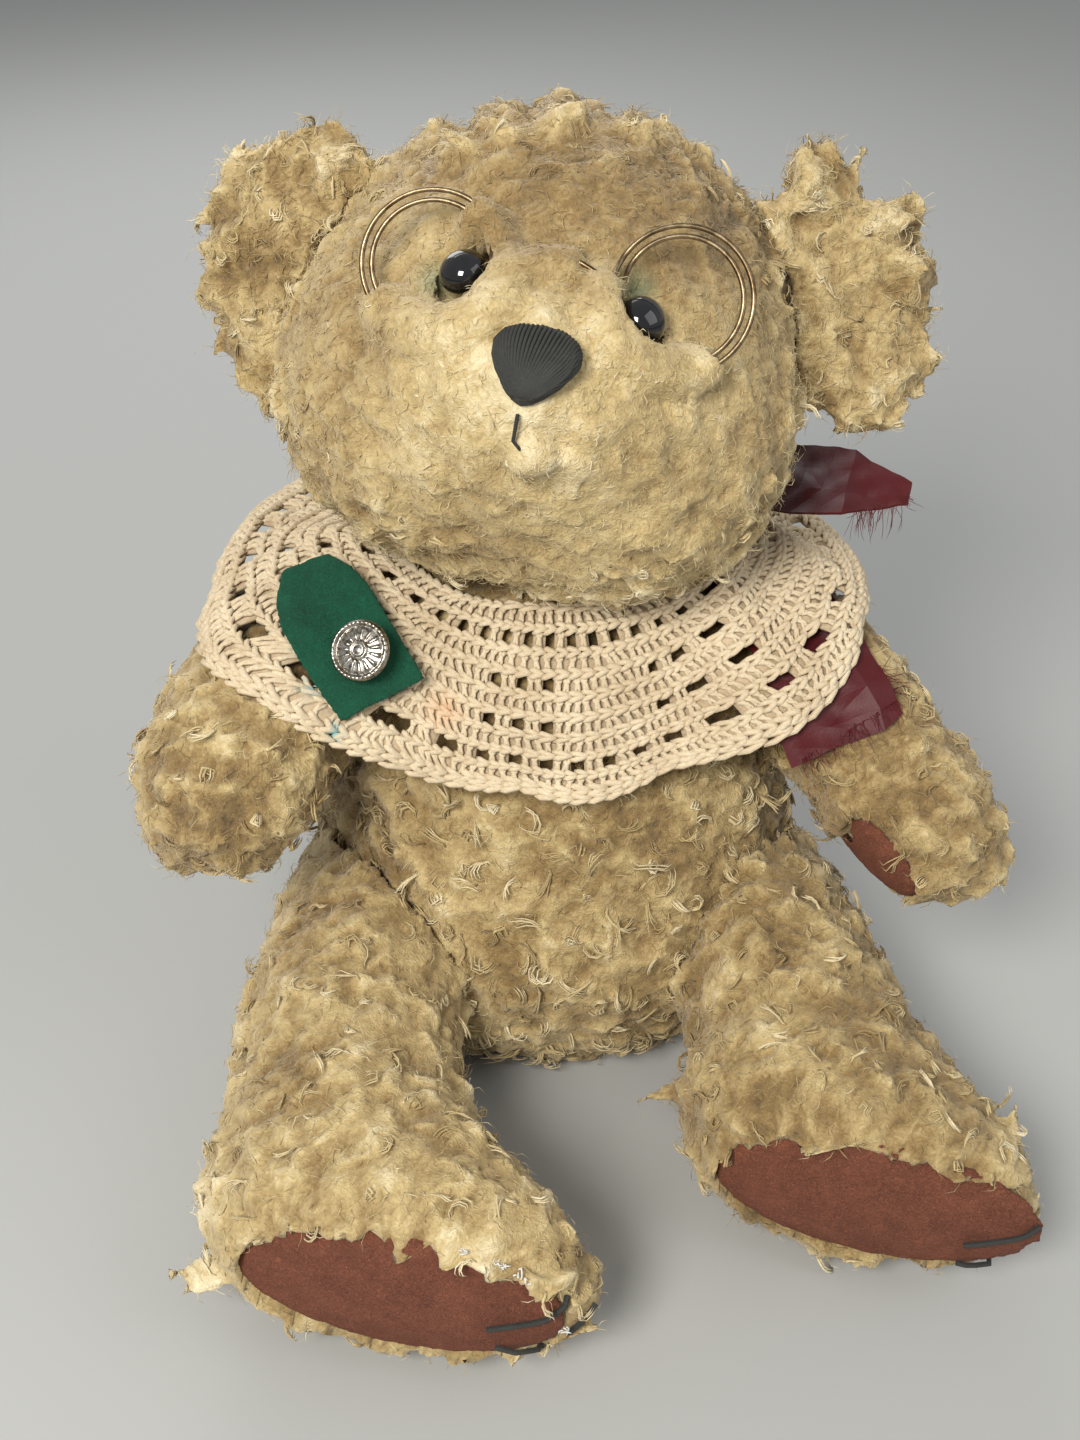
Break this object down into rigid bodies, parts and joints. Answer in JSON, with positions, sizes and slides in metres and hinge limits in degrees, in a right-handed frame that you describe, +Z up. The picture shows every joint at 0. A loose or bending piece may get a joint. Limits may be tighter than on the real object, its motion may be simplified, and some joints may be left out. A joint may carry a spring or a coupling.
{
  "type": "teddy bear",
  "caption": "Seated, worn curly-plush teddy bear with wire spectacles, crocheted collar, maroon ribbon and a green felt tag held by a metal button.",
  "frame": {"origin": "middle of the torso's flat seat, on the surface that the bear sits on", "axes": "+Z up, the bear faces -Y, and its own left side is at +X"},
  "size_m": [0.2009, 0.2046, 0.2273],
  "materials": {
    "plush": "curly, matted and worn",
    "felt_brown": "matt",
    "eye_black": "glossy",
    "nose_yarn": "matt",
    "wire": "tarnished",
    "crochet": "matt",
    "ribbon": "sheer satin",
    "felt_green": "matt",
    "button_metal": "polished, tarnished in the hollows"
  },
  "bodies": {
    "root": {"torso": "plush", "head": "plush", "ear_left": "plush", "ear_right": "plush", "arm_left": "plush", "arm_right": "plush", "leg_left": "plush", "leg_right": "plush", "paw_pad_left": "felt_brown", "paw_pad_right": "felt_brown", "sole_pad_left": "felt_brown", "sole_pad_right": "felt_brown", "eye_left": "eye_black", "eye_right": "eye_black", "nose": "nose_yarn", "mouth_stitch": "nose_yarn", "claw_left_1": "nose_yarn", "claw_left_2": "nose_yarn", "claw_right_1": "nose_yarn", "claw_right_2": "nose_yarn", "claw_right_3": "nose_yarn", "spectacles": "wire", "collar": "crochet", "ribbon": "ribbon", "felt_tag": "felt_green", "tag_button": "button_metal"}
  },
  "joints": []
}
